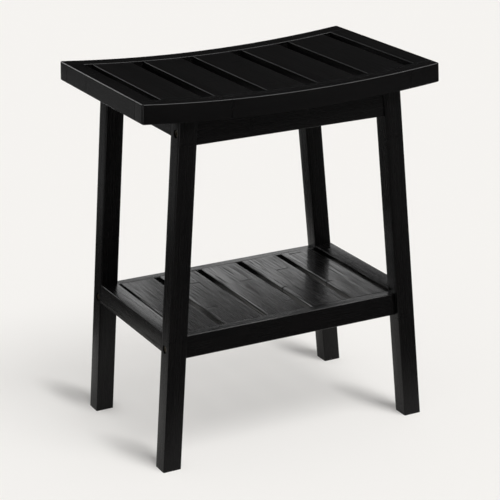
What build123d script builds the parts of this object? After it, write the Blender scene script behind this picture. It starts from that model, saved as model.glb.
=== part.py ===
from build123d import *
import math
import os

# Slatted bamboo stool with a dished seat and a lower shelf, in millimetres.
# The origin is on the floor under the middle of the seat: X runs along the seat, the front faces -Y, Z is up.

# Seat outline and its saddle
seat_length = 425.2
seat_depth = 270.0
seat_height = 500.0
seat_dip = 10.8
seat_thickness = 25.3
seat_rail_width = 25.0
seat_end_width = 24.5
seat_corner_radius = 3.5
seat_edge_radius = 1.5
seat_end_flare = 1.0

# Slats of the seat, which follow the same arc as the rails
seat_slat_count = 5
seat_slot_width = 17.8
seat_end_slot_width = 12.0
seat_slat_thickness = 12.0
seat_slat_recess = 0.7

# Legs, splayed outward along X only; leg_inset is measured where their outer faces would reach seat_height
leg_width = 25.4
leg_depth = 24.6
leg_splay = 4.68
leg_inset = 55.9
seat_overhang = 10.0

# Long aprons under the seat's front and rear rails; the drops are measured down from seat_height
apron_thickness = 15.0
apron_setback = 2.8
apron_drop = 65.0

# Side aprons and side stretchers, flush with the outer faces of the legs
side_apron_thickness = 20.0
side_apron_drop = 54.3
stretcher_height = 26.5
stretcher_rise = 4.9

# Shelf: two bolted rails and the slats between them
shelf_top = 182.0
shelf_rail_height = 31.0
shelf_rail_thickness = 15.0
shelf_rail_setback = 7.0
shelf_slat_width = 54.8
shelf_slot_width = 9.5
shelf_end_gap = 5.9
shelf_slat_thickness = 10.0

# Eased edges, and the tongues and tenons of the joints
edge_ease = 1.0
tongue_thickness = 5.0
tongue_length = 8.0
tongue_shoulder = 4.0
tenon_thickness = 9.0
tenon_length = 14.0
tenon_shoulder = 4.0

# Connector bolts and their barrel nuts
bolt_diameter = 6.0
bolt_head_diameter = 9.5
bolt_head_height = 3.4
bolt_recess_depth = 6.0
bolt_socket = 4.0
bolt_socket_depth = 2.2
nut_diameter = 10.0
nut_length = 12.0
nut_distance = 30.0
nut_slot = 1.4
nut_flats = 20

# Screws that hold the seat
screw_diameter = 4.0
screw_head_diameter = 8.0
screw_head_height = 3.0
screw_recess_depth = 12.0
screw_to_nut = 30.5

# Clearances
wood_fit = 0.1
hole_end_gap = 0.5
bolt_fit = 0.3
recess_fit = 0.75
nut_fit = 0.1
thread_fit = 0.05
seat_bed = 0.1
hole_wall = 1.0

half_length = seat_length / 2
half_depth = seat_depth / 2
seat_inner_y = half_depth - seat_rail_width
end_inner_x = half_length - seat_end_width
arc_radius = (half_length**2 + seat_dip**2) / (2 * seat_dip)
arc_centre_z = seat_height - seat_dip + arc_radius
leg_slope = math.tan(math.radians(leg_splay))
leg_outer_y = half_depth - seat_overhang
leg_inner_y = leg_outer_y - leg_depth
apron_bottom = seat_height - apron_drop
side_apron_bottom = seat_height - side_apron_drop
stretcher_top = shelf_top + stretcher_rise


def arc_height(x, drop):
    """Height of the line that lies drop below the seat's surface."""
    return arc_centre_z - math.sqrt((arc_radius + drop) ** 2 - x**2)


def arc_strip(x_from, x_to, drop_top, drop_bottom, y_from, y_to, flare_from=0, flare_to=0):
    """A strip between two arcs that share the saddle's centre; its ends may flare outward to the bottom."""
    x_mid = (x_from + x_to) / 2
    low_from, low_to = x_from - flare_from, x_to + flare_to
    top = ThreePointArc(*[(x, y_from, arc_height(x, drop_top)) for x in (x_from, x_mid, x_to)])
    bottom = ThreePointArc(*[(x, y_from, arc_height(x, drop_bottom)) for x in (low_to, x_mid, low_from)])
    outline = Curve() + [top, Line(top @ 1, bottom @ 0), bottom, Line(bottom @ 1, top @ 0)]
    return extrude(make_face(outline), amount=y_to - y_from, dir=(0, 1, 0))


def lean_x(z):
    """Distance from the middle plane to the outer face of a leg at height z."""
    return half_length - leg_inset + leg_slope * (seat_height - z)


def prism(corners, y_from, y_to):
    """A flat outline of (x, z) corners, carried from y_from to y_to."""
    outline = Polyline(*[(x, y_from, z) for x, z in corners], close=True)
    return extrude(make_face(outline), amount=y_to - y_from, dir=(0, 1, 0))


def leaning_bar(inset, thickness, z_from, z_to, y_from, y_to):
    """A bar of the right-hand side frame that leans with the legs, inset from their outer face."""
    corners = [(lean_x(z) - depth, z) for z, depth in
               ((z_from, inset), (z_to, inset), (z_to, inset + thickness), (z_from, inset + thickness))]
    return prism(corners, y_from, y_to)


def square_bar(thickness, z_from, z_to, y_from, y_to):
    """A bar of the right-hand side frame whose top and bottom stay square to the leaning legs."""
    run, drop = math.cos(math.radians(leg_splay)), math.sin(math.radians(leg_splay))
    corners = [(lean_x(z) - depth * run * run, z - depth * run * drop) for depth, z in
               ((0, z_from), (0, z_to), (thickness, z_to), (thickness, z_from))]
    return prism(corners, y_from, y_to)


def cross_bar(z_from, z_to, y_from, y_to):
    """A bar that fits between the inner faces of the left and right legs."""
    corners = [(side * (lean_x(z) - leg_width), z) for side, z in
               ((-1, z_from), (1, z_from), (1, z_to), (-1, z_to))]
    return prism(corners, y_from, y_to)


def carry(profile, start, end):
    """A profile carried along the straight line from start to end."""
    along = Vector(*end) - Vector(*start)
    return extrude(Plane(origin=start, z_dir=along) * profile, amount=along.length)


def rod(diameter, start, end):
    return carry(Circle(diameter / 2), start, end)


# Hidden round pieces have flats, and so do the holes bored for them, which clear them by the fit.
def shank(diameter, start, end, flats=12):
    return carry(RegularPolygon(diameter / 2, flats), start, end)


def bore(diameter, fit, start, end, flats=12):
    return carry(RegularPolygon(diameter / 2 + fit, flats, major_radius=False), start, end)


def ease(edges):
    """Breaks sharp edges with a small flat."""
    return chamfer(edges, edge_ease)


def mirror_y(shape):
    return mirror(shape, about=Plane.XZ)


def mirror_x(shape):
    return mirror(shape, about=Plane.YZ)


def four_corners(shape):
    """The front right copy of a fastener, repeated at all four corners."""
    pair = [shape, mirror_y(shape)]
    return pair + [mirror_x(one) for one in pair]


# Everything above the seat's underside is cut away from the frame's tops.
above_frame = arc_strip(-half_length, half_length, -2 * seat_dip, seat_thickness + seat_bed,
                        -half_depth, half_depth)

# Slats of the seat: equal widths between the two end rails, with a tongue at each end
seat_slats_span = 2 * (end_inner_x - seat_end_slot_width)
seat_slat_width = (seat_slats_span - (seat_slat_count - 1) * seat_slot_width) / seat_slat_count
tongue_drop = seat_slat_recess + (seat_slat_thickness - tongue_thickness) / 2
tongue_y = seat_inner_y + tongue_length
seat_slats = []
seat_mortises = []
for index in range(seat_slat_count):
    x_from = -seat_slats_span / 2 + index * (seat_slat_width + seat_slot_width)
    x_to = x_from + seat_slat_width
    slat = arc_strip(x_from, x_to, seat_slat_recess, seat_slat_recess + seat_slat_thickness,
                     -seat_inner_y, seat_inner_y)
    slat = ease(slat.edges().filter_by(Axis.Y).sort_by(Axis.Z)[-2:])
    slat += arc_strip(x_from + tongue_shoulder, x_to - tongue_shoulder,
                      tongue_drop, tongue_drop + tongue_thickness, -tongue_y, tongue_y)
    seat_slats.append(slat)
    mortise_y = tongue_y + hole_end_gap
    seat_mortises.append(arc_strip(x_from + tongue_shoulder - wood_fit, x_to - tongue_shoulder + wood_fit,
                                   tongue_drop - wood_fit, tongue_drop + tongue_thickness + wood_fit,
                                   -mortise_y, mortise_y))

# End rails of the seat, tenoned into the long rails
tenon_drop = (seat_thickness - tenon_thickness) / 2
tenon_y = seat_inner_y + tenon_length
seat_end = arc_strip(end_inner_x, half_length, 0, seat_thickness, -seat_inner_y, seat_inner_y,
                     flare_to=seat_end_flare)
outer_top = seat_end.faces().sort_by(Axis.X)[-1].edges().filter_by(Axis.Y).sort_by(Axis.Z)[-1]
seat_end = fillet(outer_top, seat_edge_radius)
outer_bottom = seat_end.faces().sort_by(Axis.X)[-1].edges().filter_by(Axis.Y).sort_by(Axis.Z)[0]
inner_top = seat_end.edges().filter_by(Axis.Y).group_by(Axis.X)[0].sort_by(Axis.Z)[-1]
seat_end = ease([outer_bottom, inner_top])
seat_end += arc_strip(end_inner_x + tenon_shoulder, half_length - tenon_shoulder,
                      tenon_drop, tenon_drop + tenon_thickness, -tenon_y, tenon_y)
seat_tenon_hole = arc_strip(end_inner_x + tenon_shoulder - wood_fit, half_length - tenon_shoulder + wood_fit,
                            tenon_drop - wood_fit, tenon_drop + tenon_thickness + wood_fit,
                            -tenon_y - hole_end_gap, tenon_y + hole_end_gap)
seat_right_end = seat_end
seat_left_end = mirror_x(seat_end)

# Screws that come up through the long aprons and stop below the slats' mortises
apron_outer_y = leg_outer_y - apron_setback
apron_middle_y = apron_outer_y - apron_thickness / 2
apron_top_at_leg = arc_height(lean_x(seat_height) - leg_width, seat_thickness)
upper_bolt_z = (apron_bottom + apron_top_at_leg) / 2
screw_x = lean_x(upper_bolt_z) - leg_width - nut_distance - screw_to_nut


def on_screw(z):
    return (screw_x, -apron_middle_y, z)


screw_seat_z = apron_bottom + screw_recess_depth
screw_tip_z = arc_height(screw_x, seat_slat_recess + seat_slat_thickness + tongue_thickness)
seat_screw = shank(screw_head_diameter, on_screw(screw_seat_z - screw_head_height), on_screw(screw_seat_z))
seat_screw += shank(screw_diameter, on_screw(screw_seat_z), on_screw(screw_tip_z - hole_end_gap))
screw_hole = bore(screw_diameter, wood_fit, on_screw(apron_bottom), on_screw(screw_tip_z))
screw_recess = bore(screw_head_diameter, wood_fit, on_screw(apron_bottom - hole_wall), on_screw(screw_seat_z))

# Front rail of the seat: one curved piece over the whole length, with round outer corners
seat_rail = arc_strip(-half_length, half_length, 0, seat_thickness, -half_depth, -seat_inner_y,
                      seat_end_flare, seat_end_flare)
front_edges = seat_rail.faces().sort_by(Axis.Y)[0].edges().sort_by(Axis.X)
seat_rail = fillet([front_edges[0], front_edges[-1]], seat_corner_radius)
top_face = seat_rail.faces().sort_by(Axis.Z)[-1]
seat_rail = fillet(top_face.edges().sort_by(Axis.Y)[:-1], seat_edge_radius)
bottom_face = seat_rail.faces().sort_by(Axis.Z)[0]
seat_rail = ease(bottom_face.edges().sort_by(Axis.Y)[:-1])
top_face = seat_rail.faces().sort_by(Axis.Z)[-1]
seat_rail = ease(top_face.edges().sort_by(Axis.Y)[-1])
for hole in seat_mortises + [seat_tenon_hole, screw_hole]:
    seat_rail -= hole
for hole in (seat_tenon_hole, screw_hole):
    seat_rail -= mirror_x(hole)
seat_front_rail = seat_rail
seat_rear_rail = mirror_y(seat_rail)

# Long aprons, whose top edges are cut to the seat's underside
apron_inner_y = apron_outer_y - apron_thickness
apron = cross_bar(apron_bottom, seat_height, -apron_outer_y, -apron_inner_y)
apron = ease(apron.edges().filter_by(Axis.X).group_by(Axis.Z)[0])
apron -= above_frame
for hole in (screw_hole, screw_recess):
    apron -= hole
    apron -= mirror_x(hole)

# Shelf rails
shelf_outer_y = leg_outer_y - shelf_rail_setback
shelf_inner_y = shelf_outer_y - shelf_rail_thickness
shelf_rail_bottom = shelf_top - shelf_rail_height
shelf_rail = cross_bar(shelf_rail_bottom, shelf_top, -shelf_outer_y, -shelf_inner_y)
shelf_rail = ease(shelf_rail.edges().filter_by(Axis.X))

# Slats of the shelf: three of full width, and two at the ends that are ripped to fit
shelf_reach = lean_x(shelf_top) - leg_width - shelf_end_gap
middle_edge = shelf_slat_width / 2
second_from = middle_edge + shelf_slot_width
second_to = second_from + shelf_slat_width
shelf_spans = [
    (-shelf_reach, -second_to - shelf_slot_width),
    (-second_to, -second_from),
    (-middle_edge, middle_edge),
    (second_from, second_to),
    (second_to + shelf_slot_width, shelf_reach),
]
shelf_slats = []
for x_from, x_to in shelf_spans:
    middle = Pos((x_from + x_to) / 2, 0, shelf_top - shelf_slat_thickness / 2)
    slat = middle * Box(x_to - x_from, 2 * shelf_inner_y, shelf_slat_thickness)
    slat = ease(slat.edges().filter_by(Axis.Y).group_by(Axis.Z)[-1])
    tongue_width = x_to - x_from - 2 * tongue_shoulder
    tongue_span = 2 * (shelf_inner_y + tongue_length)
    slat += middle * Box(tongue_width, tongue_span, tongue_thickness)
    shelf_slats.append(slat)
    shelf_rail -= middle * Box(tongue_width + 2 * wood_fit, tongue_span + 2 * hole_end_gap,
                               tongue_thickness + 2 * wood_fit)

# Connector bolts: each passes through a leg into the end of a long bar and pulls on a barrel nut
lower_bolt_z = (shelf_rail_bottom + shelf_top) / 2
bolt_places = [
    (upper_bolt_z, -apron_middle_y, -apron_inner_y),
    (lower_bolt_z, -(shelf_outer_y + shelf_inner_y) / 2, -shelf_inner_y),
]
bolts = []
nuts = []
bolt_cuts = []
for bolt_z, bolt_y, inner_face_y in bolt_places:
    face_x = lean_x(bolt_z)
    seat_x = face_x - bolt_recess_depth
    head_x = seat_x + bolt_head_height
    nut_x = face_x - leg_width - nut_distance
    tip_x = nut_x - nut_diameter
    bolt = rod(bolt_head_diameter, (seat_x, bolt_y, bolt_z), (head_x, bolt_y, bolt_z))
    bolt += shank(bolt_diameter, (tip_x, bolt_y, bolt_z), (seat_x, bolt_y, bolt_z))
    bolt -= carry(RegularPolygon(bolt_socket / 2, 6, major_radius=False),
                  (head_x, bolt_y, bolt_z), (head_x - bolt_socket_depth, bolt_y, bolt_z))
    bolts += four_corners(bolt)

    nut_y = inner_face_y - hole_end_gap
    nut = shank(nut_diameter, (nut_x, nut_y, bolt_z), (nut_x, nut_y - nut_length, bolt_z), nut_flats)
    nut -= bore(bolt_diameter, thread_fit, (tip_x, bolt_y, bolt_z), (face_x, bolt_y, bolt_z))
    nut -= Pos(nut_x, nut_y, bolt_z) * Box(nut_slot, 2 * nut_slot, 2 * nut_diameter)
    nuts += four_corners(nut)

    bolt_cuts.append([
        bore(bolt_diameter, bolt_fit, (tip_x - hole_end_gap, bolt_y, bolt_z), (face_x, bolt_y, bolt_z)),
        rod(bolt_head_diameter + 2 * recess_fit, (seat_x, bolt_y, bolt_z),
            (face_x + leg_width, bolt_y, bolt_z)),
        bore(nut_diameter, nut_fit, (nut_x, inner_face_y + hole_wall, bolt_z),
             (nut_x, nut_y - nut_length - hole_end_gap, bolt_z), nut_flats),
    ])

for cut in bolt_cuts[0]:
    apron -= cut
    apron -= mirror_x(cut)
for cut in bolt_cuts[1]:
    shelf_rail -= cut
    shelf_rail -= mirror_x(cut)

# Side aprons and side stretchers, whose tenons enter the legs above the bolts and behind their heads
tenon_inset = bolt_recess_depth + 2 * hole_wall
tenon_rise = bolt_diameter / 2 + bolt_fit + hole_wall
side_apron_top = arc_height(lean_x(side_apron_bottom), seat_thickness)
upper_tenon = (upper_bolt_z + tenon_rise, side_apron_top - tenon_shoulder)
tenon_dip = leg_slope * (tenon_inset + tenon_thickness)
lower_tenon = (lower_bolt_z + tenon_rise, stretcher_top - tenon_shoulder - tenon_dip)


def side_tenon(z_range, fit):
    z_from, z_to = z_range
    reach = leg_inner_y + tenon_length + (hole_end_gap if fit else 0)
    return leaning_bar(tenon_inset - fit, tenon_thickness + 2 * fit, z_from - fit, z_to + fit, -reach, reach)


side_apron = square_bar(side_apron_thickness, side_apron_bottom, seat_height, -leg_inner_y, leg_inner_y)
side_apron = ease(side_apron.edges().filter_by(Axis.Y).sort_by(Axis.Z)[:2])
side_apron -= above_frame
side_apron += side_tenon(upper_tenon, 0)
stretcher = square_bar(leg_width, stretcher_top - stretcher_height, stretcher_top, -leg_inner_y, leg_inner_y)
stretcher = ease(stretcher.edges().filter_by(Axis.Y))
stretcher += side_tenon(lower_tenon, 0)

# Legs: the front right one is cut, and the others mirror it
leg = leaning_bar(0, leg_width, 0, seat_height, -leg_outer_y, -leg_inner_y)
leg = ease(leg.edges().filter_by(Axis.X, reverse=True).filter_by(Axis.Y, reverse=True))
leg -= above_frame
for cut in bolt_cuts[0] + bolt_cuts[1] + [side_tenon(upper_tenon, wood_fit), side_tenon(lower_tenon, wood_fit)]:
    leg -= cut

nodes = {
    "seat_front_rail": seat_front_rail,
    "seat_rear_rail": seat_rear_rail,
    "seat_left_end_rail": seat_left_end,
    "seat_right_end_rail": seat_right_end,
    "leg_front_left": mirror_x(leg),
    "leg_front_right": leg,
    "leg_rear_left": mirror_x(mirror_y(leg)),
    "leg_rear_right": mirror_y(leg),
    "apron_front": apron,
    "apron_rear": mirror_y(apron),
    "side_apron_left": mirror_x(side_apron),
    "side_apron_right": side_apron,
    "side_stretcher_left": mirror_x(stretcher),
    "side_stretcher_right": stretcher,
    "shelf_front_rail": shelf_rail,
    "shelf_rear_rail": mirror_y(shelf_rail),
    "connector_bolts": Compound(bolts),
    "barrel_nuts": Compound(nuts),
    "seat_screws": Compound(four_corners(seat_screw)),
}
for number, slat in enumerate(seat_slats, 1):
    nodes[f"seat_slat_{number}"] = slat
for number, slat in enumerate(shelf_slats, 1):
    nodes[f"shelf_slat_{number}"] = slat

os.makedirs("parts", exist_ok=True)
for name, shape in nodes.items():
    export_step(shape, f"parts/{name}.step")
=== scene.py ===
import math

import bmesh
import bpy
from mathutils import Matrix, Vector


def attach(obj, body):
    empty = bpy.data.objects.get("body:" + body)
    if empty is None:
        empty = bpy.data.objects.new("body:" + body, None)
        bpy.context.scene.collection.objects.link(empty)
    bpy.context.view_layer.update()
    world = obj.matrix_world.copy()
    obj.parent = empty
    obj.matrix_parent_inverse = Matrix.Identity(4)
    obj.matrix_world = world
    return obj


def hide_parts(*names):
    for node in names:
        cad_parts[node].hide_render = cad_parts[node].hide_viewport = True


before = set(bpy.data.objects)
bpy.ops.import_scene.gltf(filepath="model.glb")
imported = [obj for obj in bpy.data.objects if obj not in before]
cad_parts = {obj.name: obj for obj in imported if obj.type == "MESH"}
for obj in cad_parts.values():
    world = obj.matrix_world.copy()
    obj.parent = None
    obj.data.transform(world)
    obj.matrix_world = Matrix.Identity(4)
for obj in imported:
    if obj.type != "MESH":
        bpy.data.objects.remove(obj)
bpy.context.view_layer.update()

print("frame loaded:", len(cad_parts), "nodes")

scene = bpy.context.scene
scene.view_settings.view_transform = "Standard"
millimetre = 0.001


# Small helpers for nodes and objects
def linkObject(name, mesh):
    piece = bpy.data.objects.new(name, mesh)
    scene.collection.objects.link(piece)
    return piece


def addNode(tree, kind, **settings):
    node = tree.nodes.new(kind)
    for key, value in settings.items():
        setattr(node, key, value)
    return node


def feed(tree, socket, value):
    if isinstance(value, (int, float)):
        socket.default_value = value
    elif isinstance(value, (tuple, list)):
        socket.default_value = (*value, 1) if len(value) == 3 and socket.type == "RGBA" else value
    else:
        tree.links.new(value, socket)


def doMath(tree, operation, first, second=0.0, clamp=False):
    node = addNode(tree, "ShaderNodeMath", operation=operation, use_clamp=clamp)
    feed(tree, node.inputs[0], first)
    feed(tree, node.inputs[1], second)
    return node.outputs[0]


def times(tree, first, second):
    return doMath(tree, "MULTIPLY", first, second)


def plus(tree, first, second, clamp=False):
    return doMath(tree, "ADD", first, second, clamp)


def minus(tree, first, second, clamp=False):
    return doMath(tree, "SUBTRACT", first, second, clamp)


def remap(tree, value, span, result=(0.0, 1.0), smooth=False):
    node = addNode(tree, "ShaderNodeMapRange", interpolation_type="SMOOTHSTEP" if smooth else "LINEAR")
    labels = ("Value", "From Min", "From Max", "To Min", "To Max")
    for label, number in zip(labels, (value, *span, *result)):
        feed(tree, node.inputs[label], number)
    return node.outputs[0]


def mixColour(tree, factor, first, second):
    node = addNode(tree, "ShaderNodeMix", data_type="RGBA")
    for socket, value in ((0, factor), (6, first), (7, second)):
        feed(tree, node.inputs[socket], value)
    return node.outputs[2]


def splitObjectPlace(tree):
    place = addNode(tree, "ShaderNodeTexCoord")
    split = addNode(tree, "ShaderNodeSeparateXYZ")
    tree.links.new(place.outputs["Object"], split.inputs[0])
    return place, split.outputs


def arrange(tree, across=190, down=170):
    # nodes stand in columns, each to the left of what it feeds
    column = {node.name: 0 for node in tree.nodes}
    moved = True
    while moved:
        moved = False
        for link in tree.links:
            if column[link.from_node.name] <= column[link.to_node.name]:
                column[link.from_node.name] = column[link.to_node.name] + 1
                moved = True
    filled = {}
    for node in tree.nodes:
        place = column[node.name]
        node.location = (-across * place, -down * filled.get(place, 0))
        filled[place] = filled.get(place, 0) + 1


def newGroup(name, inputs, outputs):
    tree = bpy.data.node_groups.new(name, "ShaderNodeTree")
    for label, kind, value in inputs:
        socket = tree.interface.new_socket(name=label, in_out="INPUT", socket_type=kind)
        if value is not None:
            socket.default_value = value
    for label, kind in outputs:
        tree.interface.new_socket(name=label, in_out="OUTPUT", socket_type=kind)
    return tree, addNode(tree, "NodeGroupInput"), addNode(tree, "NodeGroupOutput")


def newMaterial(name):
    material = bpy.data.materials.new(name)
    material.use_nodes = True
    material.node_tree.nodes.clear()
    return material, material.node_tree


def closeMaterial(tree, surface):
    out = addNode(tree, "ShaderNodeOutputMaterial")
    tree.links.new(surface, out.inputs["Surface"])
    arrange(tree)


# Pressed bamboo: strips side by side, fibres along them, and a knuckle line now and then.
# The grain runs along X of the vector and the strips lie side by side along Y, in metres.
bamboo = {
    "stripWidth": 0.019,
    "knuckleSpacing": 0.26,
    "fibreWidth": 0.0009,
    "stretch": {"Fibre": 15.0, "Streak": 6.0},  # waves per metre along the grain
    "fineness": {"Fibre": 1.0, "Streak": 0.25},  # waves per fibre width across it
    "noiseDetail": 3.0,
    "noiseRoughness": 0.6,
    "noiseSpan": (0.3, 0.7),
    "stripShift": 7.0,
    "knuckleShift": 11.3,
    "waveScale": 130.0,
    "waveReach": 0.003,
    "knuckleEdge": (0.0005, 0.0026),
    "seamEdge": (0.0001, 0.0005),
}


def makeBambooGrain():
    tree, inside, out = newGroup(
        "bambooGrain",
        [("Vector", "NodeSocketVector", None),
         ("Strip Width", "NodeSocketFloat", bamboo["stripWidth"]),
         ("Knuckle Spacing", "NodeSocketFloat", bamboo["knuckleSpacing"]),
         ("Fibre Width", "NodeSocketFloat", bamboo["fibreWidth"]),
         ("Seed", "NodeSocketFloat", 0.0)],
        [(label, "NodeSocketFloat") for label in ("Fibre", "Streak", "Tone", "Knuckle", "Seam")])
    split = addNode(tree, "ShaderNodeSeparateXYZ")
    tree.links.new(inside.outputs["Vector"], split.inputs[0])
    along, across, deep = split.outputs
    stripPlace = doMath(tree, "DIVIDE", across, inside.outputs["Strip Width"])
    inStrip = doMath(tree, "FRACT", stripPlace)
    seeded = addNode(tree, "ShaderNodeCombineXYZ")
    tree.links.new(doMath(tree, "FLOOR", stripPlace), seeded.inputs[0])
    tree.links.new(inside.outputs["Seed"], seeded.inputs[1])
    chance = addNode(tree, "ShaderNodeTexWhiteNoise", noise_dimensions="2D")
    tree.links.new(seeded.outputs[0], chance.inputs["Vector"])
    tone = chance.outputs["Value"]
    tree.links.new(tone, out.inputs["Tone"])

    # fibres and streaks: long thin noise, shifted from strip to strip
    shifted = plus(tree, along, times(tree, tone, bamboo["stripShift"]))
    inverse = doMath(tree, "DIVIDE", 1.0, inside.outputs["Fibre Width"])
    for label, stretch in bamboo["stretch"].items():
        noiseAt = addNode(tree, "ShaderNodeCombineXYZ")
        tree.links.new(times(tree, shifted, stretch), noiseAt.inputs[0])
        for axis, coordinate in ((1, across), (2, deep)):
            scaled = times(tree, times(tree, coordinate, inverse), bamboo["fineness"][label])
            tree.links.new(scaled, noiseAt.inputs[axis])
        noise = addNode(tree, "ShaderNodeTexNoise", noise_dimensions="3D")
        noise.inputs["Scale"].default_value = 1.0
        noise.inputs["Detail"].default_value = bamboo["noiseDetail"]
        noise.inputs["Roughness"].default_value = bamboo["noiseRoughness"]
        tree.links.new(noiseAt.outputs[0], noise.inputs["Vector"])
        tree.links.new(remap(tree, noise.outputs[0], bamboo["noiseSpan"]), out.inputs[label])

    # knuckles: one wavy line across each strip per spacing, at its own place
    spacing = inside.outputs["Knuckle Spacing"]
    wave = addNode(tree, "ShaderNodeTexNoise", noise_dimensions="3D")
    wave.inputs["Scale"].default_value = bamboo["waveScale"]
    wave.inputs["Detail"].default_value = 1.0
    tree.links.new(inside.outputs["Vector"], wave.inputs["Vector"])
    wavy = remap(tree, wave.outputs[0], (0.0, 1.0), (-bamboo["waveReach"], bamboo["waveReach"]))
    turns = doMath(tree, "DIVIDE", plus(tree, along, wavy), spacing)
    turns = plus(tree, turns, times(tree, tone, bamboo["knuckleShift"]))
    fromMiddle = doMath(tree, "ABSOLUTE", minus(tree, doMath(tree, "FRACT", turns), 0.5))
    knuckle = remap(tree, times(tree, fromMiddle, spacing), bamboo["knuckleEdge"], (1.0, 0.0), True)
    tree.links.new(knuckle, out.inputs["Knuckle"])

    # seams: the thin glue line between two strips
    fromSeam = doMath(tree, "MINIMUM", inStrip, minus(tree, 1.0, inStrip))
    fromSeam = times(tree, fromSeam, inside.outputs["Strip Width"])
    tree.links.new(remap(tree, fromSeam, bamboo["seamEdge"], (1.0, 0.0), True), out.inputs["Seam"])
    arrange(tree)
    return tree


# Black lacquer over the grain, and what each mask weighs in its colour, gloss and relief
film = {
    "colour": {"Fibre": 0.45, "Streak": 0.35, "Tone": 0.2},
    "colourAtKnuckle": 0.5,
    "opened": {"Fibre": 0.8, "Streak": 0.2},
    "openedSpan": (-0.06, 0.16),
    "cloudScale": 22.0,
    "cloudDetail": 3.0,
    "cloudSpan": (0.35, 0.65),
    "roughWhereOpen": 0.75,
    "roughInClouds": 0.35,
    "roughAtKnuckle": 0.15,
    "relief": {"Fibre": 0.75, "Streak": 0.2},
}


def weigh(tree, masks, weights):
    total = None
    for label, weight in weights.items():
        part = times(tree, masks[label], weight)
        total = part if total is None else plus(tree, total, part)
    return total


def makeLacquerFilm():
    tree, inside, out = newGroup(
        "lacquerFilm",
        [("Vector", "NodeSocketVector", None), ("Fibre", "NodeSocketFloat", 0.5),
         ("Streak", "NodeSocketFloat", 0.5), ("Tone", "NodeSocketFloat", 0.5),
         ("Knuckle", "NodeSocketFloat", 0.0), ("Seam", "NodeSocketFloat", 0.0),
         ("Dark", "NodeSocketColor", (0.004, 0.004, 0.0043, 1)),
         ("Light", "NodeSocketColor", (0.012, 0.0115, 0.0115, 1)),
         ("Gloss Roughness", "NodeSocketFloat", 0.2), ("Grain Roughness", "NodeSocketFloat", 0.12),
         ("Open Grain", "NodeSocketFloat", 0.5), ("Least Coat", "NodeSocketFloat", 0.1),
         ("Most Coat", "NodeSocketFloat", 0.5)],
        [("Colour", "NodeSocketColor"), ("Roughness", "NodeSocketFloat"),
         ("Coat", "NodeSocketFloat"), ("Height", "NodeSocketFloat")])
    given = inside.outputs
    shade = weigh(tree, given, film["colour"])
    shade = minus(tree, shade, times(tree, given["Knuckle"], film["colourAtKnuckle"]), True)
    tree.links.new(mixColour(tree, shade, given["Dark"], given["Light"]), out.inputs["Colour"])

    # the film pools smooth between the fibres and is duller where they stand open
    threshold = minus(tree, 1.0, given["Open Grain"])
    opened = minus(tree, weigh(tree, given, film["opened"]), threshold)
    opened = remap(tree, opened, film["openedSpan"], smooth=True)
    cloud = addNode(tree, "ShaderNodeTexNoise", noise_dimensions="3D")
    cloud.inputs["Scale"].default_value = film["cloudScale"]
    cloud.inputs["Detail"].default_value = film["cloudDetail"]
    tree.links.new(given["Vector"], cloud.inputs["Vector"])
    uneven = times(tree, remap(tree, cloud.outputs[0], film["cloudSpan"]), film["roughInClouds"])
    rough = plus(tree, times(tree, opened, film["roughWhereOpen"]), uneven)
    rough = times(tree, rough, given["Grain Roughness"])
    rough = plus(tree, rough, given["Gloss Roughness"])
    rough = plus(tree, rough, times(tree, given["Knuckle"], film["roughAtKnuckle"]))
    tree.links.new(rough, out.inputs["Roughness"])

    # the clear coat is fullest on closed grain, and least on open grain and at a knuckle
    closed = minus(tree, minus(tree, 1.0, opened), given["Knuckle"], True)
    coat = addNode(tree, "ShaderNodeMix", data_type="FLOAT")
    for socket, value in ((0, closed), (2, given["Least Coat"]), (3, given["Most Coat"])):
        tree.links.new(value, coat.inputs[socket])
    tree.links.new(coat.outputs[0], out.inputs["Coat"])

    height = weigh(tree, given, film["relief"])
    for label in ("Knuckle", "Seam"):
        height = minus(tree, height, given[label])
    tree.links.new(height, out.inputs["Height"])
    arrange(tree)
    return tree


bambooGrain = makeBambooGrain()
lacquerFilm = makeLacquerFilm()

# How the lacquer looks; the seat's is rubbed duller than the shelf's
lacquer = {
    "dark": (0.0019, 0.0018, 0.0020),
    "light": (0.0056, 0.0052, 0.0052),
    "seat": {"specular": 0.15, "gloss": 0.20, "grain": 0.06, "open": 0.45,
             "relief": 0.00002, "fibre": 0.0012, "knuckle": 0.5,
             "coatRoughness": 0.22, "leastCoat": 0.28, "mostCoat": 0.36},
    "seatSlat": {"specular": 0.10, "gloss": 0.28, "grain": 0.08, "open": 0.45,
                 "relief": 0.00002, "fibre": 0.0012, "knuckle": 0.5,
                 "coatRoughness": 0.34, "leastCoat": 0.11, "mostCoat": 0.18},
    "shelf": {"specular": 0.15, "gloss": 0.12, "grain": 0.28, "open": 0.5,
              "relief": 0.00014, "fibre": 0.0010, "knuckle": 1.0,
              "coatRoughness": 0.12, "leastCoat": 0.0, "mostCoat": 0.80},
    "shelfFrame": {"specular": 0.15, "gloss": 0.14, "grain": 0.15, "open": 0.5,
                   "relief": 0.00012, "fibre": 0.0009, "knuckle": 0.25,
                   "coatRoughness": 0.12, "leastCoat": 0.08, "mostCoat": 0.70},
    "frame": {"specular": 0.15, "gloss": 0.22, "grain": 0.07, "open": 0.5,
              "relief": 0.00003, "fibre": 0.0012, "knuckle": 0.3,
              "coatRoughness": 0.24, "leastCoat": 0.24, "mostCoat": 0.34},
}
grainTurns = {"x": (0, 0, 0), "y": (0, 0, math.pi / 2), "z": (0, math.pi / 2, 0)}
grainStep = (0.371, 0.0047)  # each piece is cut from another place of the board


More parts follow.
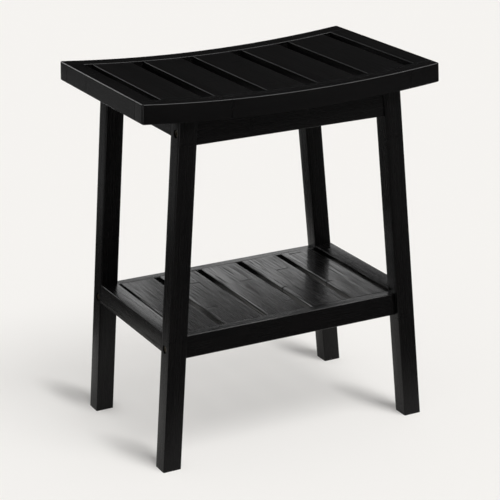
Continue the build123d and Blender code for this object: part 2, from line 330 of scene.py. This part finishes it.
def makeLacquer(name, grainAxis, finish, seed, tilt=0.0):
    look = lacquer[finish]
    material, tree = newMaterial(name)
    place = addNode(tree, "ShaderNodeTexCoord")
    turn = addNode(tree, "ShaderNodeMapping")
    aboutX, aboutY, aboutZ = grainTurns[grainAxis]
    turn.inputs["Rotation"].default_value = (aboutX, aboutY + tilt, aboutZ)
    turn.inputs["Location"].default_value = (grainStep[0] * seed, grainStep[1] * seed, 0.0)
    tree.links.new(place.outputs["Object"], turn.inputs["Vector"])
    grain = addNode(tree, "ShaderNodeGroup", node_tree=bambooGrain)
    grain.inputs["Seed"].default_value = seed
    grain.inputs["Fibre Width"].default_value = look["fibre"]
    coating = addNode(tree, "ShaderNodeGroup", node_tree=lacquerFilm)
    for label, key in (("Dark", "dark"), ("Light", "light")):
        coating.inputs[label].default_value = (*lacquer[key], 1)
    for label, key in (("Gloss Roughness", "gloss"), ("Grain Roughness", "grain"), ("Open Grain", "open"),
                       ("Least Coat", "leastCoat"), ("Most Coat", "mostCoat")):
        coating.inputs[label].default_value = look[key]
    for node in (grain, coating):
        tree.links.new(turn.outputs[0], node.inputs["Vector"])
    for mask in ("Fibre", "Streak", "Tone", "Seam"):
        tree.links.new(grain.outputs[mask], coating.inputs[mask])
    tree.links.new(times(tree, grain.outputs["Knuckle"], look["knuckle"]), coating.inputs["Knuckle"])
    relief = addNode(tree, "ShaderNodeBump")
    relief.inputs["Distance"].default_value = look["relief"]
    tree.links.new(coating.outputs["Height"], relief.inputs["Height"])
    shader = addNode(tree, "ShaderNodeBsdfPrincipled")
    shader.inputs["Specular IOR Level"].default_value = look["specular"]
    shader.inputs["Coat Roughness"].default_value = look["coatRoughness"]
    tree.links.new(coating.outputs["Colour"], shader.inputs["Base Color"])
    tree.links.new(coating.outputs["Roughness"], shader.inputs["Roughness"])
    tree.links.new(coating.outputs["Coat"], shader.inputs["Coat Weight"])
    tree.links.new(relief.outputs[0], shader.inputs["Normal"])
    closeMaterial(tree, shader.outputs[0])
    return material


# Zinc-plated fasteners, yellow from the passivation
fastener = {
    "zinc": (0.50, 0.46, 0.37),
    "stain": (0.16, 0.13, 0.09),
    "roughness": (0.2, 0.4),
    "stainScale": 260.0,
    "stainDetail": 4.0,
    "stainSpan": (0.3, 0.7),
}


def makeFastenerSteel():
    material, tree = newMaterial("yellowZinc")
    place = addNode(tree, "ShaderNodeTexCoord")
    cloud = addNode(tree, "ShaderNodeTexNoise")
    cloud.inputs["Scale"].default_value = fastener["stainScale"]
    cloud.inputs["Detail"].default_value = fastener["stainDetail"]
    tree.links.new(place.outputs["Object"], cloud.inputs["Vector"])
    shader = addNode(tree, "ShaderNodeBsdfPrincipled")
    shader.inputs["Metallic"].default_value = 1.0
    tree.links.new(mixColour(tree, cloud.outputs[0], fastener["zinc"], fastener["stain"]),
                   shader.inputs["Base Color"])
    tree.links.new(remap(tree, cloud.outputs[0], fastener["stainSpan"], fastener["roughness"]),
                   shader.inputs["Roughness"])
    closeMaterial(tree, shader.outputs[0])
    return material


# Each wooden piece: the way its grain runs, its finish, and the side that a leg's grain leans to
splay = math.radians(4.68)
woodPieces = {
    "seat_front_rail": ("x", "seat", 0), "seat_rear_rail": ("x", "seat", 0),
    "seat_left_end_rail": ("y", "seat", 0), "seat_right_end_rail": ("y", "seatSlat", 0),
    "leg_front_left": ("z", "frame", -1), "leg_front_right": ("z", "frame", 1),
    "leg_rear_left": ("z", "frame", -1), "leg_rear_right": ("z", "frame", 1),
    "apron_front": ("x", "frame", 0), "apron_rear": ("x", "frame", 0),
    "side_apron_left": ("y", "frame", 0), "side_apron_right": ("y", "frame", 0),
    "side_stretcher_left": ("y", "shelfFrame", 0), "side_stretcher_right": ("y", "shelfFrame", 0),
    "shelf_front_rail": ("x", "shelfFrame", 0), "shelf_rear_rail": ("x", "shelfFrame", 0),
}
for number in range(1, 6):
    woodPieces[f"seat_slat_{number}"] = ("y", "seatSlat", 0)
    woodPieces[f"shelf_slat_{number}"] = ("y", "shelf", 0)

# The eased arrises: on some pieces their small flats are rounded off, to catch the light.
# Lengths are in metres, and the angles between faces are in degrees.
arris = {
    "width": 0.00032,
    "segments": 2,
    "flatFrom": 40,
    "flatTo": 50,
    "sharpFrom": 58,
    "flatnessWeight": 80,
    "mergeWithin": 0.00001,
    "roundedOn": ("seat_left_end", "shelf"),
}


# A smooth copy of a CAD piece, with its doubles merged, that stands for it
def easePiece(node, rounded=False):
    mesh = bpy.data.meshes.new(node + "_eased")
    bm = bmesh.new()
    bm.from_mesh(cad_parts[node].data)
    bmesh.ops.remove_doubles(bm, verts=bm.verts, dist=arris["mergeWithin"])
    if rounded:
        least, most = math.radians(arris["flatFrom"]), math.radians(arris["flatTo"])
        flats = [edge for edge in bm.edges if least < edge.calc_face_angle(0) < most]
        bmesh.ops.bevel(bm, geom=flats, offset=arris["width"], segments=arris["segments"],
                        profile=0.5, affect="EDGES", material=-1, clamp_overlap=True)
    for face in bm.faces:
        face.smooth = True
    for edge in bm.edges:
        edge.smooth = edge.is_manifold and edge.calc_face_angle(0) < math.radians(arris["sharpFrom"])
    bm.to_mesh(mesh)
    bm.free()
    piece = linkObject(node + "_eased", mesh)
    weighted = piece.modifiers.new("evenNormals", "WEIGHTED_NORMAL")
    weighted.keep_sharp = True
    weighted.weight = arris["flatnessWeight"]
    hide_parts(node)
    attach(piece, "root")
    return piece


for seed, (node, (axis, finish, lean)) in enumerate(woodPieces.items()):
    piece = easePiece(node, node.startswith(arris["roundedOn"]))
    piece.data.materials.append(makeLacquer(node + "Lacquer", axis, finish, seed, splay * lean))
print("wood dressed:", len(woodPieces))

yellowZinc = makeFastenerSteel()
for node in ("connector_bolts", "barrel_nuts", "seat_screws"):
    piece = easePiece(node)
    piece.data.materials.append(yellowZinc)
print("fasteners dressed")

# Domed heads with a hex socket, on the bolts in their recesses; sizes in millimetres.
# The dome is a list of widths and heights, as shares of the radius and the rise.
boltHead = {
    "radius": 4.6,
    "rise": 1.4,
    "dome": ((1.0, 0.42), (0.965, 0.66), (0.89, 0.84), (0.78, 0.95), (0.70, 1.0), (0.66, 1.0)),
    "socketRadius": 2.5,
    "socketDepth": 1.2,
    "sides": 36,
    "sharpFrom": 50,
    "parting": 300.0,  # the height that parts the upper bolts from the lower ones
    "tolerance": 0.1,
}


# The side and the middle of each bolt's outer face, found on the CAD bolts
def boltFaces():
    corners = [vertex.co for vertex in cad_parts["connector_bolts"].data.vertices]
    parting = millimetre * boltHead["parting"]
    for side in (-1, 1):
        for front in (-1, 1):
            for upper in (-1, 1):
                own = [co for co in corners
                       if co.x * side > 0 and co.y * front > 0 and (co.z - parting) * upper > 0]
                reach = max(co.x * side for co in own)
                rim = [co for co in own if co.x * side > reach - millimetre * boltHead["tolerance"]]
                middle = [(min(co[axis] for co in rim) + max(co[axis] for co in rim)) / 2
                          for axis in (1, 2)]
                yield side, Vector((reach * side, *middle))


# How far the hex socket's wall stands from its middle at an angle
def hexReach(angle):
    within = (angle + math.pi / 6) % (math.pi / 3) - math.pi / 6
    return millimetre * boltHead["socketRadius"] / math.cos(within)


# Extrudes the top face in place; the face it leaves behind goes, unless it is the head's underside
def raiseTop(head, top, keepOld=False):
    raised = bmesh.ops.extrude_face_region(head, geom=top)
    if not keepOld:
        bmesh.ops.delete(head, geom=top, context="FACES")
    return [part for part in raised["geom"] if isinstance(part, bmesh.types.BMFace)]


def shapeTop(top, reachAt, height):
    for vertex in top[0].verts:
        angle = math.atan2(vertex.co.y, vertex.co.x)
        vertex.co = (reachAt(angle) * math.cos(angle), reachAt(angle) * math.sin(angle), height)


def makeOneHead(side, place):
    radius, rise = millimetre * boltHead["radius"], millimetre * boltHead["rise"]
    head = bmesh.new()
    bmesh.ops.create_circle(head, cap_ends=True, segments=boltHead["sides"], radius=radius)
    top = head.faces[:]
    for step, (width, height) in enumerate(boltHead["dome"]):
        top = raiseTop(head, top, keepOld=step == 0)
        shapeTop(top, lambda angle: radius * width, rise * height)
    for depth in (0.0, millimetre * boltHead["socketDepth"]):
        top = raiseTop(head, top)
        shapeTop(top, hexReach, rise - depth)
    outward = Matrix.Rotation(side * math.pi / 2, 3, "Y")
    bmesh.ops.rotate(head, verts=head.verts, cent=(0, 0, 0), matrix=outward)
    bmesh.ops.translate(head, verts=head.verts, vec=place)
    bmesh.ops.recalc_face_normals(head, faces=head.faces)
    for face in head.faces:
        face.smooth = True
    for edge in head.edges:
        edge.smooth = edge.calc_face_angle(0) < math.radians(boltHead["sharpFrom"])
    return head


def makeBoltHeads():
    bm = bmesh.new()
    for side, place in boltFaces():
        head = makeOneHead(side, place)
        passed = bpy.data.meshes.new("oneHead")
        head.to_mesh(passed)
        head.free()
        bm.from_mesh(passed)
        bpy.data.meshes.remove(passed)
    mesh = bpy.data.meshes.new("bolt_heads")
    bm.to_mesh(mesh)
    bm.free()
    heads = linkObject("bolt_heads", mesh)
    mesh.materials.append(yellowZinc)
    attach(heads, "root")


makeBoltHeads()
print("bolt heads made")

# The room: a pale floor and a plain studio around it
room = {
    "floorSize": 60.0,
    "pale": (0.905, 0.888, 0.863),
    "duskRadius": 2.8,
    "duskHeight": 2.0,
    "duskColour": (0.015, 0.015, 0.015),
    "horizon": (0.12, 0.28),
}


def onlyForGloss(thing):
    thing.visible_camera = False
    thing.visible_diffuse = False
    thing.visible_transmission = False
    thing.visible_volume_scatter = False
    thing.visible_shadow = False


def stageObject(name, bm, material):
    mesh = bpy.data.meshes.new(name)
    bm.to_mesh(mesh)
    bm.free()
    mesh.materials.append(material)
    thing = linkObject(name, mesh)
    return thing


def panelAt(size, place, turn=(0, 0, 0)):
    bm = bmesh.new()
    bmesh.ops.create_grid(bm, x_segments=1, y_segments=1, size=0.5)
    bmesh.ops.scale(bm, verts=bm.verts, vec=(*size, 1))
    for axis, degrees in zip("XYZ", turn):
        matrix = Matrix.Rotation(math.radians(degrees), 3, axis)
        bmesh.ops.rotate(bm, verts=bm.verts, cent=(0, 0, 0), matrix=matrix)
    bmesh.ops.translate(bm, verts=bm.verts, vec=place)
    return bm


# The floor also glows a little for camera and glossy rays, which paints light into its own shadows, but
# less by the feet.
# There an oval runs from each foot along the key lamp's shadow and lowers that painted light, which keeps
# that real shadow dark in a painted oval.
shadow = {
    "fill": 0.60,
    "paintedLightByFeet": 0.08,
    "feet": ((-0.1845, -0.11), (0.1845, -0.11), (-0.1845, 0.11), (0.1845, 0.11)),
    "azimuth": 107.0,
    "shift": 0.056,
    "stretch": (2.5, 0.85, 1.0),
    "fade": (0.004, 0.044),
}


def makePaleFloor():
    material, tree = newMaterial("paleFloor")
    paper = addNode(tree, "ShaderNodeBsdfDiffuse")
    # the emission is painted light that lifts the floor's shadows
    paintedShadowLift = addNode(tree, "ShaderNodeEmission")
    for node in (paper, paintedShadowLift):
        node.inputs["Color"].default_value = (*room["pale"], 1)
    rays = addNode(tree, "ShaderNodeLightPath")
    seen = plus(tree, rays.outputs["Is Camera Ray"], rays.outputs["Is Glossy Ray"])
    seen = plus(tree, seen, rays.outputs["Is Transmission Ray"], True)
    place = addNode(tree, "ShaderNodeTexCoord")
    away = math.radians(shadow["azimuth"])
    nearest = None
    for x, y in shadow["feet"]:
        oval = addNode(tree, "ShaderNodeMapping", vector_type="TEXTURE")
        oval.inputs["Location"].default_value = (x + shadow["shift"] * math.cos(away),
                                                 y + shadow["shift"] * math.sin(away), 0)
        oval.inputs["Rotation"].default_value = (0, 0, away)
        oval.inputs["Scale"].default_value = shadow["stretch"]
        tree.links.new(place.outputs["Object"], oval.inputs["Vector"])
        reach = addNode(tree, "ShaderNodeVectorMath", operation="LENGTH")
        tree.links.new(oval.outputs[0], reach.inputs[0])
        reach = reach.outputs["Value"]
        nearest = reach if nearest is None else doMath(tree, "MINIMUM", nearest, reach)
    # the share of painted light in the floor, lowered in the ovals by the feet
    fill = remap(tree, nearest, shadow["fade"], (shadow["paintedLightByFeet"], shadow["fill"]), True)
    blend = addNode(tree, "ShaderNodeMixShader")
    tree.links.new(times(tree, seen, fill), blend.inputs[0])
    tree.links.new(paper.outputs[0], blend.inputs[1])
    tree.links.new(paintedShadowLift.outputs[0], blend.inputs[2])
    closeMaterial(tree, blend.outputs[0])
    return material


floorSize = (room["floorSize"], room["floorSize"])
stageObject("floor", panelAt(floorSize, (0, 0, 0)), makePaleFloor())


# The dusk of the room, which only the gloss sees
def makeRoomDusk():
    material, tree = newMaterial("roomDusk")
    glow = addNode(tree, "ShaderNodeEmission")
    glow.inputs["Color"].default_value = (*room["duskColour"], 1)
    closeMaterial(tree, glow.outputs[0])
    bm = bmesh.new()
    bmesh.ops.create_cone(bm, cap_ends=False, segments=64, radius1=room["duskRadius"],
                          radius2=room["duskRadius"], depth=room["duskHeight"])
    bmesh.ops.translate(bm, verts=bm.verts, vec=(0, 0, room["duskHeight"] / 2))
    onlyForGloss(stageObject("roomDusk", bm, material))


makeRoomDusk()

# A glowing panel behind, seen only by the gloss, stands in for the backdrop paper: it paints a bright
# reflection at its foot, which the shelf mirrors and the seat looks over.
# The bright part ends at a soft edge, which rises to the right.
backdrop = {
    "place": (0.42, 0.78),
    "size": (0.86, 0.62),
    "strength": 1.0,
    "edge": 0.459,
    "edgeFrom": 0.215,
    "edgeRise": 0.2,
    "softness": 0.045,
}


def makeBackdropGlow():
    material, tree = newMaterial("backdropGlow")
    _, (x, _, z) = splitObjectPlace(tree)
    rise = times(tree, minus(tree, x, backdrop["edgeFrom"]), backdrop["edgeRise"])
    fade = (backdrop["edge"] - backdrop["softness"], backdrop["edge"] + backdrop["softness"])
    # painted reflection: bright below the soft edge, dark above it
    lit = remap(tree, minus(tree, z, rise), fade, (1.0, 0.0), True)
    glow = addNode(tree, "ShaderNodeEmission")
    tree.links.new(times(tree, lit, backdrop["strength"]), glow.inputs["Strength"])
    closeMaterial(tree, glow.outputs[0])
    place = (*backdrop["place"], backdrop["size"][1] / 2)
    onlyForGloss(stageObject("backdropGlow", panelAt(backdrop["size"], place, (90, 0, 0)), material))


makeBackdropGlow()

# Soft panels that only the gloss sees, turned in degrees.
# Each draws a thin line of light along the arrises that face it.
glowPanels = {
    "leftBackGlow": {"place": (-0.52, 1.43, 1.05), "size": (0.9, 0.86),
                     "turn": (90, 0, 0), "strength": 2.1},
    "overheadGlow": {"place": (0.75, -0.35, 2.0), "size": (0.9, 0.8),
                     "turn": (0, 0, 0), "strength": 6.0},
    "leftFrontGlow": {"place": (-1.0, -0.55, 0.3), "size": (0.4, 0.5),
                      "turn": (90, 0, 90), "strength": 1.4},
}
for name, panel in glowPanels.items():
    material, tree = newMaterial(name)
    glow = addNode(tree, "ShaderNodeEmission")
    glow.inputs["Strength"].default_value = panel["strength"]
    closeMaterial(tree, glow.outputs[0])
    onlyForGloss(stageObject(name, panelAt(panel["size"], panel["place"], panel["turn"]), material))

# A sheet just above the floor, seen only by the gloss, paints shade over the floor further off; X and Y
# are ranges of the floor, in metres.
farFloor = {
    "size": 5.5,
    "lift": 0.0004,
    "centre": (0.05, 0.2),
    "distance": (0.30, 0.62),
    "cover": (0.45, 0.97),
    "paintedShadeX": (-0.40, -0.32),  # dark behind the shelf to the left, so that its slots stay dark
    "paintedShadeY": (0.36, 0.44),
    "paintedShadeCover": (0.0, 0.97),
    "brightX": (-0.2, -0.05),  # bright right behind the stool, for the arrises seen at a grazing angle
    "brightY": (0.3, 0.5),
    "brightSkew": 0.2,
    "aheadX": (0.35, 0.85),
    "aheadGlow": (0.01, 0.11),
    "behindY": (0.85, 1.3),
    "behindGlow": (0.0, 0.15),
}


def makeFarFloorDusk():
    material, tree = newMaterial("farFloorDusk")
    place, (x, y, _) = splitObjectPlace(tree)
    centred = addNode(tree, "ShaderNodeMapping")
    centred.inputs["Location"].default_value = (-farFloor["centre"][0], -farFloor["centre"][1], 0)
    tree.links.new(place.outputs["Object"], centred.inputs["Vector"])
    distance = addNode(tree, "ShaderNodeVectorMath", operation="LENGTH")
    tree.links.new(centred.outputs[0], distance.inputs[0])
    cover = remap(tree, distance.outputs["Value"], farFloor["distance"], farFloor["cover"], True)
    # painted shade behind the shelf to the left, and painted shade lifted right behind the stool
    paintedShade = times(tree, remap(tree, x, farFloor["paintedShadeX"], farFloor["paintedShadeCover"], True),
                   remap(tree, y, farFloor["paintedShadeY"], smooth=True))
    skewed = minus(tree, x, times(tree, y, farFloor["brightSkew"]))
    bright = times(tree, remap(tree, skewed, farFloor["brightX"], smooth=True),
                   remap(tree, y, farFloor["brightY"], smooth=True))
    cover = times(tree, doMath(tree, "MAXIMUM", cover, paintedShade), minus(tree, 1.0, bright))
    # a faint painted glow in the reflections, ahead to the right and far behind
    ahead = remap(tree, x, farFloor["aheadX"], farFloor["aheadGlow"], True)
    behind = remap(tree, y, farFloor["behindY"], farFloor["behindGlow"], True)
    clear = addNode(tree, "ShaderNodeBsdfTransparent")
    dusk = addNode(tree, "ShaderNodeEmission")
    tree.links.new(plus(tree, ahead, behind), dusk.inputs["Strength"])
    blend = addNode(tree, "ShaderNodeMixShader")
    tree.links.new(cover, blend.inputs[0])
    tree.links.new(clear.outputs[0], blend.inputs[1])
    tree.links.new(dusk.outputs[0], blend.inputs[2])
    closeMaterial(tree, blend.outputs[0])
    size = (farFloor["size"], farFloor["size"])
    onlyForGloss(stageObject("farFloorDusk", panelAt(size, (0, 0, farFloor["lift"])), material))


makeFarFloorDusk()


# World: pale at the horizon, dark above
def makeWorld():
    world = bpy.data.worlds.new("studio")
    scene.world = world
    world.use_nodes = True
    tree = world.node_tree
    tree.nodes.clear()
    place = addNode(tree, "ShaderNodeTexCoord")
    split = addNode(tree, "ShaderNodeSeparateXYZ")
    tree.links.new(place.outputs["Generated"], split.inputs[0])
    upward = remap(tree, split.outputs[2], room["horizon"], smooth=True)
    background = addNode(tree, "ShaderNodeBackground")
    tree.links.new(mixColour(tree, upward, room["pale"], room["duskColour"]), background.inputs["Color"])
    out = addNode(tree, "ShaderNodeOutputWorld")
    tree.links.new(background.outputs[0], out.inputs["Surface"])
    arrange(tree)


makeWorld()

# Two broad distant lamps: a key from the front, and a wide one overhead
lamps = {
    "keyLamp": {"azimuth": -72.0, "elevation": 62.0, "strength": 2.0, "angle": 27.0},
    "overheadLamp": {"azimuth": -60.0, "elevation": 82.0, "strength": 1.32, "angle": 96.0},
}
lampDistance = 4.0
for name, setting in lamps.items():
    lamp = bpy.data.lights.new(name, "SUN")
    lamp.energy = setting["strength"]
    lamp.angle = math.radians(setting["angle"])
    holder = linkObject(name, lamp)
    azimuth, elevation = math.radians(setting["azimuth"]), math.radians(setting["elevation"])
    toLamp = Vector((math.cos(azimuth) * math.cos(elevation), math.sin(azimuth) * math.cos(elevation),
                     math.sin(elevation)))
    holder.rotation_euler = toLamp.to_track_quat("Z", "Y").to_euler()
    holder.location = toLamp * lampDistance
print("room lit")

# The camera stands where the photograph was taken
cameraSettings = {
    "place": (-1.067871, -2.095335, 1.055829),
    "forward": (0.428276, 0.841668, -0.328900),
    "roll": -0.017328,
    "lens": 131.074,
    "sensor": 36.0,
}
cameraData = bpy.data.cameras.new("photoCamera")
cameraData.lens = cameraSettings["lens"]
cameraData.sensor_width = cameraSettings["sensor"]
camera = linkObject("photoCamera", cameraData)
forward = Vector(cameraSettings["forward"]).normalized()
levelRight = forward.cross(Vector((0, 0, 1))).normalized()
levelUp = levelRight.cross(forward)
cosine, sine = math.cos(cameraSettings["roll"]), math.sin(cameraSettings["roll"])
right = levelRight * cosine + levelUp * sine
upward = levelUp * cosine - levelRight * sine
turned = Matrix((right, upward, -forward)).transposed().to_4x4()
turned.translation = Vector(cameraSettings["place"])
camera.matrix_world = turned
scene.camera = camera
print("camera set")
